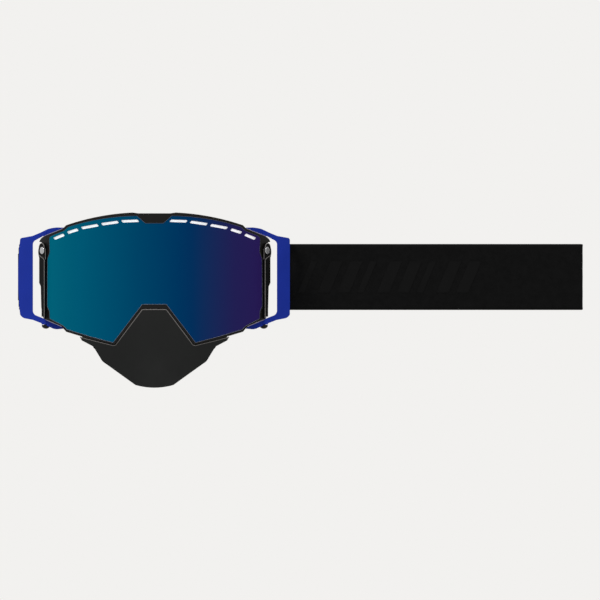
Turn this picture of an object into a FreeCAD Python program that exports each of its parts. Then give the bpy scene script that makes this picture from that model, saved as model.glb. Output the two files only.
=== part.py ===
import FreeCAD, Part
import os
import re

from FreeCAD import Vector, Placement, Rotation
import Sketcher

# Ski goggles in millimetres. +Z is up, the lens looks along -Y and +X is to the right of someone who
# looks at the lens. The origin is at the back of the face foam, on the middle plane.
# Two upright axes set every curve in plan: the lens axis, which the lens unit and the frame's front
# bend round, and the head axis, which the flange, the foam and the outriggers bend round.

SIDES = {"left": -1, "right": 1}

DIMENSIONS = {
    # plan curves
    "lens_axis_y": 50.0,
    "head_axis_y": 110.0,
    "front_radius": 100.5,
    "lens_radius": 100.0,
    "lens_sheet": 1.2,
    "spacer_depth": 2.2,
    "inner_sheet": 0.8,
    "seat_radius": 97.9,
    "gasket_radius": 98.5,
    "bezel_back_radius": 96.4,
    "flange_radius": 130.5,
    "foam_radius": 128.0,
    "foam_base_depth": 5.0,
    "foam_middle_depth": 9.0,
    "foam_fleece_depth": 4.0,
    "outrigger_radius": 136.0,
    "outrigger_sheet": 4.0,
    "reach": 120.0,
    "block_front": 70.0,
    "block_back": 50.0,
    # offsets from one outline to the next
    "lens_gap": 0.3,
    "wall_sheet": 2.0,
    "gasket_inset": 0.6,
    "wall_root": 0.8,
    "front_margin": 5.0,
    "inner_lens_inset": 6.2,
    "spacer_width": 4.5,
    "flange_overhang": 1.0,
    "flange_width": 10.0,
    "foam_width": 11.0,
    "vent_foam_gap": 0.3,
    "vent_foam_depth": 3.0,
    "vent_foam_width": 10.8,
    "vent_foam_reach": 58.0,
    "vent_foam_inner_end": 34.0,
    "vent_foam_top_low": 26.0,
    "vent_foam_bottom_high": -26.0,
    # vents in the lens
    "vent_height": 1.8,
    "vent_round": 0.5,
    "vent_filter_depth": 1.4,
    "vent_filter_overlap": 0.5,
    "vent_pocket_overlap": 0.8,
    "vent_pocket_radius": 97.2,
    "vent_notch_start": 67.2,
    "vent_notch_width": 2.6,
    "vent_notch_bottom": 28.0,
    "vent_notch_height": 3.0,
    # vents in the frame wall
    "port_radius": 88.0,
    "port_width": 8.0,
    "top_port_length": 16.0,
    "top_port_low": 30.0,
    "bottom_port_length": 10.0,
    "bottom_port_low": -56.0,
    "port_height": 22.0,
    # outrigger hinges
    "hinge_x": 81.7,
    "hinge_y": 3.8,
    "hinge_pin_radius": 1.4,
    "hinge_clearance": 0.05,
    "lug_radius": 3.3,
    "lug_setback": 2.0,
    "pin_bite": 4.8,
    "pin_inset": 0.5,
    "lug_reach": 9.0,
    "upper_lug_top": 28.8,
    "upper_lug_bottom": 21.0,
    "upper_eye_bottom": 30.6,
    "upper_eye_top": 33.6,
    "lower_lug_top": -22.0,
    "lower_lug_bottom": -29.8,
    "lower_eye_top": -31.2,
    "lower_eye_bottom": -35.6,
    "hinge_head_radius": 3.05,
    "hinge_head_bottom": -38.9,
    "hinge_head_dome": 3.6,
    "hinge_head_gap": 0.3,
    # strap pins
    "strap_pin_x": 98.5,
    "strap_pin_y": 33.0,
    "strap_pin_radius": 1.6,
    "strap_lug_inner": 25.4,
    "strap_lug_outer": 28.6,
    "strap_lug_half": 2.6,
    "strap_lug_front": 19.0,
    "strap_lug_bite": 0.5,
    "strap_pin_inset": 1.0,
    # straps
    "strap_height": 49.6,
    "strap_sheet": 1.7,
    "strap_loop_radius": 2.0,
    "strap_end_x": 321.4,
    "strap_fold_gap": 3.1,
    "strap_tail_end": 124.0,
    "strap_hem_start": 288.0,
    "webbing_height": 40.0,
    "webbing_sheet": 1.4,
    "webbing_start": 176.0,
    "webbing_end": 306.0,
    "grip_height": 2.0,
    "grip_sheet": 0.5,
    "grip_spacing": 12.0,
    "grip_start": 130.0,
    "grip_end": 284.0,
    "stub_length": 26.0,
    # slider on the webbing
    "slider_start": 226.0,
    "slider_length": 24.0,
    "slider_height": 46.0,
    "slider_rail": 2.6,
    "slider_bar": 5.0,
    "slider_sheet": 1.8,
    "slider_clearance": 0.35,
    # buckle
    "buckle_height": 45.0,
    "buckle_sheet": 9.0,
    "buckle_plate": 16.0,
    "plug_start": 134.0,
    "plug_length": 44.0,
    "plug_tongue": 4.4,
    "prong_width": 7.0,
    "plug_slot_depth": 4.0,
    "plug_slot_margin": 0.6,
    "prong_bite": 2.0,
    "prong_inset": 3.0,
    "buckle_clearance": 0.2,
    "socket_length": 34.0,
    "socket_wall": 2.0,
    "socket_floor": 8.0,
    "socket_window_start": 14.0,
    "socket_window_length": 10.0,
    "throat_depth": 4.0,
    "strap_clearance": 0.1,
    "cutter_overrun": 1.0,
    # lens lock levers
    "lever_angle": 55.0,
    "lever_height": 19.8,
    "lever_gap": 0.35,
    "lever_sheet": 1.8,
    "lever_pin_radius": 1.2,
    "lever_pin_depth": 3.6,
    "lever_head_radius": 2.7,
    "lever_head_height": 0.7,
    "lever_head_gap": 0.12,
    "lever_clearance": 0.12,
    # nose guard
    "guard_centre_z": -20.0,
    "guard_radius": 101.5,
    "guard_upright_radius": 151.5,
    "guard_sheet": 2.5,
    "guard_chin_radius": 51.0,
    "lip_radius": 96.6,
    "lip_sheet": 2.4,
    "stud_radius": 1.6,
    "stud_clearance": 0.05,
    "stud_length": 8.0,
    "stud_root": 0.3,
    "stud_top_z": -28.4,
    "stud_side_x": 17.2,
    "stud_side_z": -40.4,
}

# Half outlines seen from the front, from the top middle to the bottom middle: name, x, z and, where a
# round stretch leads to the point from the one before it, that stretch's radius.
OUTLINES = {
    "frame": [
        ("crown", 12.0, 47.5, 0),
        ("crest", 16.2, 48.1, 0),
        ("brow", 66.2, 38.7, 180.0),
        ("step", 68.9, 36.0, 0),
        ("shoulder", 82.9, 30.5, 0),
        ("temple", 86.6, 26.2, 6.0),
        ("notch", 83.6, 25.9, 0),
        ("side", 83.6, -30.0, 0),
        ("jaw", 82.6, -31.6, 2.5),
        ("cheek", 69.6, -37.1, 0),
        ("heel", 66.2, -41.1, 0),
        ("wing", 48.6, -46.4, 0),
        ("tip", 29.7, -50.6, 0),
        ("bridge", 9.2, -23.9, 0),
    ],
    "lens": [
        ("notch", 6.75, 40.2, 0),
        ("crown", 13.0, 45.7, 0),
        ("brow", 64.7, 37.5, 180.0),
        ("step", 68.1, 34.5, 0),
        ("shoulder", 77.1, 31.0, 0),
        ("temple", 79.1, 28.6, 3.0),
        ("waist", 78.7, 18.5, 0),
        ("upper_side", 80.4, 13.7, 0),
        ("lower_side", 80.6, -22.0, 0),
        ("hip", 78.9, -25.7, 0),
        ("jaw", 78.7, -31.3, 0),
        ("cheek", 68.4, -36.6, 0),
        ("heel", 65.6, -39.4, 0),
        ("wing", 48.4, -44.6, 0),
        ("tip", 30.8, -49.2, 0),
        ("bridge", 9.0, -20.6, 0),
    ],
    "wall": [
        ("crown", 14.5, 43.8, 0),
        ("brow", 64.0, 35.0, 180.0),
        ("step", 66.8, 31.8, 0),
        ("shoulder", 76.2, 28.0, 0),
        ("temple", 79.3, 24.0, 5.0),
        ("side", 79.3, -27.3, 0),
        ("cheek", 67.0, -33.2, 0),
        ("heel", 64.0, -37.1, 0),
        ("wing", 47.6, -42.5, 0),
        ("tip", 31.9, -46.6, 0),
        ("bridge", 11.3, -20.2, 0),
    ],
    "guard": [
        ("bridge", 9.0, -24.3, 0),
        ("tip", 29.6, -51.1, 0),
        ("wing", 48.7, -46.8, 0),
        ("point", 55.9, -44.9, 0),
        ("point_low", 54.4, -47.6, 0),
        ("cheek", 46.0, -52.0, 0),
        ("flank", 44.6, -53.9, 3.0),
        ("hip", 40.3, -61.0, 0),
        ("jaw", 36.5, -64.9, 9.0),
        ("chin", 14.2, -80.9, 0),
    ],
    "lip": [
        ("bridge", 9.6, -22.0, 0),
        ("tip", 30.6, -49.4, 0),
        ("wing", 48.6, -45.0, 0),
        ("end", 55.0, -43.4, 0),
        ("end_low", 53.4, -46.8, 0),
        ("wing_low", 46.0, -49.4, 0),
        ("tip_low", 30.0, -52.6, 0),
        ("inner", 14.6, -43.6, 0),
        ("middle", 4.0, -31.6, 0),
    ],
}

# The outrigger's outline, seen from the front: closed, clockwise from the upper arm's inner end.
OUTRIGGER = [
    ("upper_root", 68.4, 37.0, 0),
    ("upper_knee", 73.4, 37.1, 0),
    ("upper_bend", 80.3, 35.9, 30.0),
    ("upper_elbow", 86.0, 33.2, 0),
    ("upper_wrist", 91.8, 30.8, 0),
    ("top_shoulder", 99.7, 29.4, 0),
    ("top_corner", 101.3, 27.9, 1.8),
    ("bottom_corner", 101.3, -28.2, 248.0),
    ("chamfer", 98.1, -31.0, 6.0),
    ("lower_wrist", 91.4, -32.3, 0),
    ("lower_elbow", 83.9, -35.2, 0),
    ("lower_bend", 76.6, -38.6, 0),
    ("lower_knee", 72.4, -39.2, 9.0),
    ("lower_root", 68.4, -38.8, 0),
    ("lower_inside", 69.4, -34.2, 0),
    ("lower_fork", 82.3, -31.6, 0),
    ("lower_throat", 89.2, -28.9, 0),
    ("window_bottom", 91.6, -25.4, -4.0),
    ("window_top", 91.6, 24.8, 0),
    ("upper_throat", 89.0, 27.9, -4.0),
    ("upper_fork", 83.3, 31.0, 0),
    ("upper_inside", 69.0, 33.0, 0),
]

# The left outrigger's outer edge bulges; the right one's is straight, where the long strap begins.
OUTRIGGERS = {
    "left": OUTRIGGER,
    "right": [point[:3] + (0,) if point[0] == "bottom_corner" else point for point in OUTRIGGER],
}

# The lens lock lever, seen square on to its plate: across from its pin towards the outside, and up.
LEVER = [
    ("head_inner", -2.4, 1.6, 0),
    ("head_top_inner", -0.8, 5.0, 4.5),
    ("head_top_outer", 2.8, 5.2, 2.6),
    ("head_outer", 5.8, -2.4, 8.0),
    ("collar", 5.2, -4.4, 0),
    ("bar_outer", 4.7, -5.4, 0),
    ("step_high", 4.7, -24.4, 0),
    ("step_low", 2.5, -27.0, 0),
    ("taper", 1.8, -43.4, 0),
    ("foot_outer", -0.8, -50.6, 0),
    ("foot_inner", -2.4, -51.0, 0),
]

# Vent slots in the lens, for the right half: middle x, middle z, length before the ends are rounded,
# and rise per unit of length.
LENS_VENTS = [
    ("inner", 18.1, 41.7, 11.1, 0.035),
    ("middle", 33.2, 40.2, 11.1, 0.14),
    ("outer", 48.3, 37.6, 11.1, 0.18),
    ("side", 61.2, 34.25, 6.5, 0.32),
    ("end", 71.6, 30.1, 6.5, 0.41),
]
TOP_PORT_ANGLES = [-36, -18, 0, 18, 36]
BOTTOM_PORT_ANGLES = [-41, -29, 29, 41]

for outline_name, outline_points in list(OUTLINES.items()) + [("rig", OUTRIGGER), ("lever", LEVER)]:
    for point_name, across, up, round_radius in outline_points:
        DIMENSIONS[f"{outline_name}_{point_name}_x"] = across
        DIMENSIONS[f"{outline_name}_{point_name}_z"] = up
        if round_radius:
            DIMENSIONS[f"{outline_name}_{point_name}_radius"] = round_radius
for vent_name, vent_x, vent_z, vent_length, vent_rise in LENS_VENTS:
    DIMENSIONS[f"vent_{vent_name}_x"] = vent_x
    DIMENSIONS[f"vent_{vent_name}_z"] = vent_z
    DIMENSIONS[f"vent_{vent_name}_length"] = vent_length
    DIMENSIONS[f"vent_{vent_name}_rise"] = vent_rise

doc = FreeCAD.newDocument("SkiGoggles")
sheet = doc.addObject("Spreadsheet::Sheet", "Dims")
for row, (alias, value) in enumerate(DIMENSIONS.items(), start=1):
    sheet.set(f"A{row}", alias)
    sheet.set(f"B{row}", str(value))
    sheet.setAlias(f"B{row}", alias)
doc.recompute()

nodes = []


def linked(expression):
    """The expression with every dimension's name pointing at its cell in the sheet."""
    return re.sub(r"[a-z][a-z0-9_]*[a-z0-9]", lambda word: named_cell(word.group()), str(expression))


def named_cell(word):
    return f"{sheet.Name}.{word}" if word in DIMENSIONS else word


def bind(item, **expressions):
    for name, expression in expressions.items():
        item.setExpression(name, linked(expression))


def place(item, x="0", y="0", z="0"):
    bind(item, **{"Placement.Base.x": x, "Placement.Base.y": y, "Placement.Base.z": z})


def box(name, x, y, z):
    """A box from (low, size) pairs of expressions."""
    item = doc.addObject("Part::Box", name)
    bind(item, Length=x[1], Width=y[1], Height=z[1])
    place(item, x[0], y[0], z[0])
    return item


def cylinder(name, radius, low, height, x="0", y="0"):
    item = doc.addObject("Part::Cylinder", name)
    bind(item, Radius=radius, Height=height)
    place(item, x, y, low)
    return item


def cut(name, base, tool):
    item = doc.addObject("Part::Cut", name)
    item.Base = base
    item.Tool = tool
    return item


def common(name, *shapes):
    item = doc.addObject("Part::MultiCommon", name)
    item.Shapes = list(shapes)
    return item


def fuse(name, *shapes):
    item = doc.addObject("Part::MultiFuse", name)
    item.Shapes = list(shapes)
    item.Refine = True
    return item


def keep(item, name):
    """Make the item a sub-part: its label is the name of its node."""
    item.Label = name
    nodes.append(item)
    return item


def trace(sketch, corners):
    """Draw a closed outline: corners are (x, z, radius) names, with a sign for the mirrored half."""
    places = [Vector(sign * DIMENSIONS[x], DIMENSIONS[z], 0) for sign, x, z, radius in corners]
    count = len(corners)
    constraints = []
    bound = []
    starts = []
    for index in range(count):
        after = (index + 1) % count
        radius = corners[after][3]
        first, second = places[index], places[after]
        if radius:
            size = abs(DIMENSIONS[radius])
            middle = bulge(first, second, size, DIMENSIONS[radius] > 0)
            geometry = Part.Arc(first, middle, second)
            number = sketch.addGeometry(geometry, False)
            begins = sketch.getPoint(number, 1).distanceToPoint(first) < 1e-6
            starts.append((number, 1 if begins else 2, 2 if begins else 1))
            constraints.append(Sketcher.Constraint("Radius", number, size))
            bound.append(f"abs({radius})")
        else:
            number = sketch.addGeometry(Part.LineSegment(first, second), False)
            starts.append((number, 1, 2))
    for index, (number, start, end) in enumerate(starts):
        sign, x, z, radius = corners[index]
        mark = "-" if sign < 0 else ""
        constraints.append(Sketcher.Constraint("DistanceX", -1, 1, number, start, places[index].x))
        bound.append(f"{mark}{x}")
        constraints.append(Sketcher.Constraint("DistanceY", -1, 1, number, start, places[index].y))
        bound.append(z)
    for index, (number, start, end) in enumerate(starts):
        following, next_start, next_end = starts[(index + 1) % count]
        constraints.append(Sketcher.Constraint("Coincident", number, end, following, next_start))
    sketch.addConstraint(constraints)
    for index, expression in enumerate(bound):
        sketch.setExpression(f"Constraints[{index}]", linked(expression))


def bulge(first, second, radius, left):
    """The middle of the arc of that radius from first to second, on the left of the way or the right."""
    half = first.distanceToPoint(second) / 2
    rise = radius - (radius ** 2 - half ** 2) ** 0.5
    along = (second - first).normalize()
    sideways = Vector(-along.y, along.x, 0) if left else Vector(along.y, -along.x, 0)
    return (first + second) / 2 + sideways * rise


def corner(outline, point, sign=1):
    name = f"{outline}_{point[0]}"
    radius = f"{name}_radius" if point[3] else None
    return (sign, f"{name}_x", f"{name}_z", radius)


def upright_sketch(name):
    """A sketch in the XZ plane, seen from the front."""
    sketch = doc.addObject("Sketcher::SketchObject", name)
    sketch.Placement = Placement(Vector(0, 0, 0), Rotation(Vector(1, 0, 0), 90))
    return sketch


def whole_outline(outline):
    """A sketch of a half outline and its mirror image, clockwise from the top middle."""
    points = OUTLINES[outline]
    right = [corner(outline, point) for point in points]
    left = []
    for index in range(len(points) - 1, -1, -1):
        sign, x, z, radius = corner(outline, points[index], -1)
        leads = points[index + 1] if index + 1 < len(points) else None
        radius = f"{outline}_{leads[0]}_radius" if leads and leads[3] else None
        left.append((sign, x, z, radius))
    if outline == "guard":
        left[0] = left[0][:3] + ("guard_chin_radius",)
    sketch = upright_sketch(f"{outline}_outline")
    trace(sketch, right + left)
    return sketch


def side_outline(outline, points, side):
    """A sketch of a closed outline for one side; the left one is the mirror image of the right one."""
    sign = SIDES[side]
    corners = [corner(outline, point, sign) for point in points]
    if sign < 0:
        radii = [entry[3] for entry in corners]
        shifted = radii[1:] + radii[:1]
        corners = [entry[:3] + (radius,) for entry, radius in zip(corners, shifted)][::-1]
    return corners


def extruded(name, profile):
    """The profile carried along +Y, from in front of the goggles to behind them."""
    item = doc.addObject("Part::Extrusion", name)
    item.Base = profile
    item.DirMode = "Custom"
    item.Dir = Vector(0, 1, 0)
    item.Solid = True
    bind(item, LengthFwd="block_back", LengthRev="block_front")
    return item


def offset(name, profile, amount):
    item = doc.addObject("Part::Offset2D", name)
    item.Source = profile
    item.Join = "Intersection" if amount.startswith("-") else "Arc"
    bind(item, Value=amount)
    return item


def grown(name, profile, amount):
    """The prism of a profile that is offset outwards, or inwards where the amount is negative."""
    return extruded(name, offset(f"{name}_line", profile, amount))


def drum(name, axis, radius):
    """A tall cylinder about the lens axis or the head axis."""
    return cylinder(name, radius, "-reach", "2 * reach", y=axis)


def shell(name, axis, outer, inner):
    return cut(name, drum(f"{name}_outer", axis, outer), drum(f"{name}_inner", axis, inner))


def mirrored(side, expression):
    return f"-({expression})" if SIDES[side] < 0 else expression


def place_round(item, angle, x, y, z, tilt=0):
    """Place an item by its position in a frame turned about the lens axis; the tilt is about its own X."""
    turn = f"create(<<placement>>; create(<<vector>>; 0; {linked('lens_axis_y')}; 0); " \
        f"create(<<rotation>>; create(<<vector>>; 0; 0; 1); {linked(angle)}))"
    local = f"create(<<placement>>; create(<<vector>>; {linked(x)}; {linked(y)}; {linked(z)}); " \
        f"create(<<rotation>>; create(<<vector>>; 1; 0; 0); {tilt}))"
    item.setExpression("Placement", f"{turn} * {local}")


frame_line = whole_outline("frame")
lens_line = whole_outline("lens")
wall_line = whole_outline("wall")
guard_line = whole_outline("guard")
lip_line = whole_outline("lip")

frame_block = extruded("frame_block", frame_line)
lens_block = extruded("lens_block", lens_line)
wall_block = extruded("wall_block", wall_line)


def hinge_lug(side, level):
    """The frame's lug for a hinge pin, from the wall out to the pin."""
    x = mirrored(side, "hinge_x")
    low = f"{level}_lug_bottom"
    height = f"{level}_lug_top - {level}_lug_bottom"
    eye = cylinder(f"{side}_{level}_lug_eye", "lug_radius", low, height, x, "hinge_y")
    start = "hinge_x - lug_reach"
    web_x = start if SIDES[side] > 0 else "-hinge_x"
    web = box(f"{side}_{level}_lug_web", (web_x, "lug_reach"), ("hinge_y - lug_radius", "2 * lug_radius"),
              (low, height))
    return fuse(f"{side}_{level}_lug", eye, web)


def hinge_cylinder(side, level, role):
    """A cylinder on the hinge axis, as long as that level's pin."""
    low = "upper_lug_top - pin_bite" if level == "upper" else "lower_eye_bottom - pin_inset"
    high = "upper_eye_top - pin_inset" if level == "upper" else "lower_lug_bottom + pin_bite"
    return cylinder(f"{side}_{level}_hinge_{role}", "hinge_pin_radius", low, f"({high}) - ({low})",
                    mirrored(side, "hinge_x"), "hinge_y")


def make_frame():
    """The moulded frame: bezel, lens seat, vented wall, hinge lugs and the lip behind the nose guard."""
    bezel = common("bezel", frame_block,
                   shell("bezel_shell", "lens_axis_y", "front_radius", "bezel_back_radius"))
    wall_space = cut("wall_space", drum("wall_front", "lens_axis_y", "bezel_back_radius + wall_root"),
                     drum("wall_back", "head_axis_y", "flange_radius"))
    wall = common("wall_ring", wall_block, wall_space)
    lug_space = cut("lug_space", drum("lug_front", "lens_axis_y", "front_radius - lug_setback"),
                    drum("lug_back", "head_axis_y", "flange_radius"))
    lugs = [hinge_lug(side, level) for side in SIDES for level in ("upper", "lower")]
    trimmed_lugs = common("trimmed_lugs", fuse("lugs", *lugs), lug_space)
    lip = common("nose_lip", extruded("lip_block", lip_line),
                 shell("lip_shell", "lens_axis_y", "lip_radius", "lip_radius - lip_sheet"))
    solid = fuse("frame_solid", bezel, wall, trimmed_lugs, lip)
    seat = common("seat_pocket", grown("seat_block", lens_line, "lens_gap"),
                  shell("seat_shell", "lens_axis_y", "front_radius + front_margin", "seat_radius"))
    aperture = common("aperture", grown("aperture_block", wall_line, "-wall_sheet"),
                      drum("aperture_drum", "lens_axis_y", "seat_radius"))
    hollow = fuse("frame_hollow", seat, aperture, vent_pockets, *frame_ports())
    bores = [cylinder(f"{side}_frame_bore", "hinge_pin_radius + hinge_clearance", "-reach / 2", "reach",
                      mirrored(side, "hinge_x"), "hinge_y") for side in SIDES]
    holes = fuse("frame_holes", *bores, *stud_shapes("stud_hole", "stud_radius + stud_clearance"),
                 *lever_shanks("lever_pin_hole"))
    keep(cut("frame_body", cut("open_frame", solid, hollow), holes), "frame")


def frame_ports():
    """Air ports through the top and the bottom of the frame's wall."""
    rows = [("top", TOP_PORT_ANGLES), ("bottom", BOTTOM_PORT_ANGLES)]
    ports = []
    for row, angles in rows:
        for index, angle in enumerate(angles):
            port = doc.addObject("Part::Box", f"{row}_port_{index}")
            bind(port, Length=f"{row}_port_length", Width="port_width", Height="port_height")
            place_round(port, angle, f"-{row}_port_length / 2", "-port_radius - port_width / 2",
                        f"{row}_port_low")
            ports.append(port)
    return ports


def stud_shapes(name, radius):
    """The three studs that hold the nose guard to the lip, or their holes: they lie along Y."""
    places = [("middle", "0", "stud_top_z"), ("left", "-stud_side_x", "stud_side_z"),
              ("right", "stud_side_x", "stud_side_z")]
    studs = []
    for where, x, z in places:
        stud = doc.addObject("Part::Cylinder", f"{name}_{where}")
        stud.Placement.Rotation = Rotation(Vector(1, 0, 0), -90)
        bind(stud, Radius=radius, Height="stud_length")
        depth = f"lens_axis_y - sqrt(pow(guard_radius - guard_sheet; 2) - pow({x}; 2)) - stud_root"
        place(stud, x, depth, z)
        studs.append(stud)
    return studs


def lever_shanks(name):
    """The shanks of both lever pins, or their holes, square to the lens surface at the lever's head."""
    shanks = []
    for side in SIDES:
        shank = doc.addObject("Part::Cylinder", f"{name}_{side}")
        bind(shank, Radius="lever_pin_radius",
             Height="lever_pin_depth + lever_gap + lever_sheet + lever_head_height / 2")
        seat_on_lens(shank, side, "-front_radius + lever_pin_depth", 90)
        shanks.append(shank)
    return shanks


def seat_on_lens(item, side, depth, tilt=0):
    """Place an item at the lever's angle and height; the depth is measured from the lens axis."""
    place_round(item, mirrored(side, "lever_angle"), "0", depth, "lever_height", tilt)


def make_face_side():
    """The flange and the three foam layers, one behind the other towards the face."""
    layers = [
        ("face_flange", "flange_radius", "foam_radius", "flange_overhang", "-flange_width"),
        ("foam_base", "foam_radius", "foam_radius - foam_base_depth", "0", "-foam_width"),
        ("foam_middle", "foam_radius - foam_base_depth",
         "foam_radius - foam_base_depth - foam_middle_depth", "0", "-foam_width"),
        ("foam_fleece", "foam_radius - foam_base_depth - foam_middle_depth",
         "foam_radius - foam_base_depth - foam_middle_depth - foam_fleece_depth", "0", "-foam_width"),
    ]
    for name, outer, inner, outside, inside in layers:
        rim = extruded(f"{name}_rim", wall_line) if outside == "0" else \
            grown(f"{name}_rim", wall_line, outside)
        loop = cut(f"{name}_loop", rim, grown(f"{name}_eye", wall_line, inside))
        keep(common(f"{name}_part", loop, shell(f"{name}_shell", "head_axis_y", outer, inner)), name)


def make_gasket():
    outer = grown("gasket_rim", lens_line, "-gasket_inset")
    loop = cut("gasket_loop", outer, grown("gasket_eye", wall_line, "-wall_sheet"))
    band = shell("gasket_shell", "lens_axis_y", "gasket_radius", "seat_radius")
    keep(cut("gasket_part", common("gasket_band", loop, band), vent_pockets), "lens_gasket")


def make_vent_foam():
    """Foam strips inside the frame's wall, behind its ports."""
    rim = grown("vent_foam_rim", wall_line, "-wall_sheet - vent_foam_gap")
    eye = grown("vent_foam_eye", wall_line, "-wall_sheet - vent_foam_gap - vent_foam_depth")
    band = shell("vent_foam_shell", "lens_axis_y", "port_radius + vent_foam_width / 2",
                 "port_radius - vent_foam_width / 2")
    strip = common("vent_foam_strip", cut("vent_foam_loop", rim, eye), band)
    across = "vent_foam_reach - vent_foam_inner_end"
    zones = {
        "top": ("-vent_foam_reach", "2 * vent_foam_reach", "vent_foam_top_low"),
        "bottom_left": ("-vent_foam_reach", across, "vent_foam_bottom_high - reach"),
        "bottom_right": ("vent_foam_inner_end", across, "vent_foam_bottom_high - reach"),
    }
    for name, (left, width, low) in zones.items():
        zone = box(f"vent_foam_{name}_zone", (left, width), ("-reach / 2", "reach"), (low, "reach"))
        keep(common(f"vent_foam_{name}_part", strip, zone), f"vent_foam_{name}")


def vent_slots(side, role, growth):
    """The prisms of one side's slots: slanted bars, grown by an amount that also rounds their corners."""
    sign = SIDES[side]
    prisms = []
    for name, middle, level, length, rise in LENS_VENTS:
        sketch = upright_sketch(f"vent_{name}_{side}_{role}")
        height = DIMENSIONS["vent_height"] - 2 * DIMENSIONS["vent_round"]
        places = []
        bound = []
        for end, edge in ((-1, -1), (-1, 1), (1, 1), (1, -1)):
            across = middle + end * length / 2 + edge * height / 2
            up = level - end * rise * length / 2 + edge * height / 2
            places.append(Vector(sign * across, up, 0))
            half = f"{edge} * (vent_height / 2 - vent_round)"
            x = f"vent_{name}_x + {end} * vent_{name}_length / 2 + {half}"
            slope = f"{end} * vent_{name}_rise * vent_{name}_length / 2"
            z = f"vent_{name}_z - {slope} + {half}"
            bound += [mirrored(side, x), z]
        constraints = []
        for index, point in enumerate(places):
            sketch.addGeometry(Part.LineSegment(point, places[(index + 1) % 4]), False)
            constraints.append(Sketcher.Constraint("DistanceX", -1, 1, index, 1, point.x))
            constraints.append(Sketcher.Constraint("DistanceY", -1, 1, index, 1, point.y))
        for index in range(4):
            constraints.append(Sketcher.Constraint("Coincident", index, 2, (index + 1) % 4, 1))
        sketch.addConstraint(constraints)
        for index, expression in enumerate(bound):
            sketch.setExpression(f"Constraints[{index}]", linked(expression))
        prisms.append(grown(f"{sketch.Name}_prism", sketch, growth))
    return prisms


def make_vent_pockets():
    """The space behind the lens vents; a notch opens each end pocket to the inside of the frame."""
    growth = "vent_round + vent_pocket_overlap"
    prisms = [prism for side in SIDES for prism in vent_slots(side, "pocket", growth)]
    starts = {"left": "-vent_notch_start - vent_notch_width", "right": "vent_notch_start"}
    notches = [box(f"vent_notch_{side}", (start, "vent_notch_width"), ("-reach / 2", "reach"),
                   ("vent_notch_bottom", "vent_notch_height")) for side, start in starts.items()]
    return cut("vent_pockets", fuse("pocket_prisms", *prisms, *notches),
               drum("pocket_floor", "lens_axis_y", "vent_pocket_radius"))


def make_lens_unit():
    """Outer lens with its vent slots, spacer foam, inner lens and the filter strips behind the slots."""
    sheet_shell = shell("lens_shell", "lens_axis_y", "lens_radius", "lens_radius - lens_sheet")
    blank = common("lens_blank", lens_block, sheet_shell)
    slots = [slot for side in SIDES for slot in vent_slots(side, "slot", "vent_round")]
    keep(cut("outer_lens_part", blank, fuse("lens_slots", *slots)), "outer_lens")
    inner_block = grown("inner_lens_block", lens_line, "-inner_lens_inset")
    eye = grown("spacer_eye", lens_line, "-inner_lens_inset - spacer_width")
    spacer_outer = "lens_radius - lens_sheet"
    spacer_inner = f"{spacer_outer} - spacer_depth"
    spacer = common("spacer_part", cut("spacer_loop", inner_block, eye),
                    shell("spacer_shell", "lens_axis_y", spacer_outer, spacer_inner))
    filters = {}
    for side in SIDES:
        blocks = vent_slots(side, "filter", "vent_round + vent_filter_overlap")
        band = shell(f"filter_{side}_shell", "lens_axis_y", spacer_outer,
                     f"{spacer_outer} - vent_filter_depth")
        filters[side] = common(f"filter_{side}_part", fuse(f"filter_{side}_blocks", *blocks), band)
    keep(cut("spacer_cut", spacer, fuse("filter_spaces", *filters.values())), "lens_spacer")
    keep(common("inner_lens_part", inner_block,
                shell("inner_lens_shell", "lens_axis_y", spacer_inner, f"{spacer_inner} - inner_sheet")),
         "inner_lens")
    for side in SIDES:
        keep(filters[side], f"vent_filter_{side}")


def make_hinge_pins(side, outrigger):
    """Both pins of one outrigger; the lower one's head is cut away where the outrigger is."""
    x = mirrored(side, "hinge_x")
    drum_part = cylinder(f"{side}_hinge_head", "hinge_head_radius", "hinge_head_bottom",
                         "lower_eye_bottom - hinge_head_gap - hinge_head_bottom", x, "hinge_y")
    ball = doc.addObject("Part::Sphere", f"{side}_hinge_head_ball")
    bind(ball, Radius="hinge_head_dome")
    place(ball, x, "hinge_y", "hinge_head_bottom + hinge_head_dome")
    head = common(f"{side}_hinge_head_round", drum_part, ball)
    trimmed_head = cut(f"{side}_hinge_head_trimmed", head, outrigger)
    lower = fuse(f"{side}_lower_pin", hinge_cylinder(side, "lower", "pin"), trimmed_head)
    group = doc.addObject("Part::Compound", f"{side}_hinge_pins")
    group.Links = [hinge_cylinder(side, "upper", "pin"), lower]
    keep(group, f"hinge_pins_{side}")


def make_outriggers():
    """Each outrigger: a bent plate with two arms, eyes for the hinge pins and lugs for the strap pin."""
    for side in SIDES:
        sketch = upright_sketch(f"outrigger_{side}_outline")
        trace(sketch, side_outline("rig", OUTRIGGERS[side], side))
        band = shell(f"outrigger_{side}_shell", "head_axis_y", "outrigger_radius",
                     "outrigger_radius - outrigger_sheet")
        plate = common(f"outrigger_{side}_plate", extruded(f"outrigger_{side}_block", sketch), band)
        eyes = [cylinder(f"{side}_{level}_eye", "lug_radius", f"{level}_eye_bottom",
                         f"{level}_eye_top - {level}_eye_bottom", mirrored(side, "hinge_x"), "hinge_y")
                for level in ("upper", "lower")]
        lugs = [strap_lug(side, "upper", "strap_lug_inner"), strap_lug(side, "lower", "-strap_lug_outer")]
        solid = fuse(f"outrigger_{side}_solid", plate, *eyes, *lugs)
        bores = [hinge_cylinder(side, level, "bore") for level in ("upper", "lower")]
        bores.append(strap_pin(side, "bore"))
        outrigger = cut(f"outrigger_{side}_part", solid, fuse(f"outrigger_{side}_bores", *bores))
        keep(outrigger, f"outrigger_{side}")
        keep(strap_pin(side, "pin"), f"strap_pin_{side}")
        make_hinge_pins(side, solid)


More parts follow.
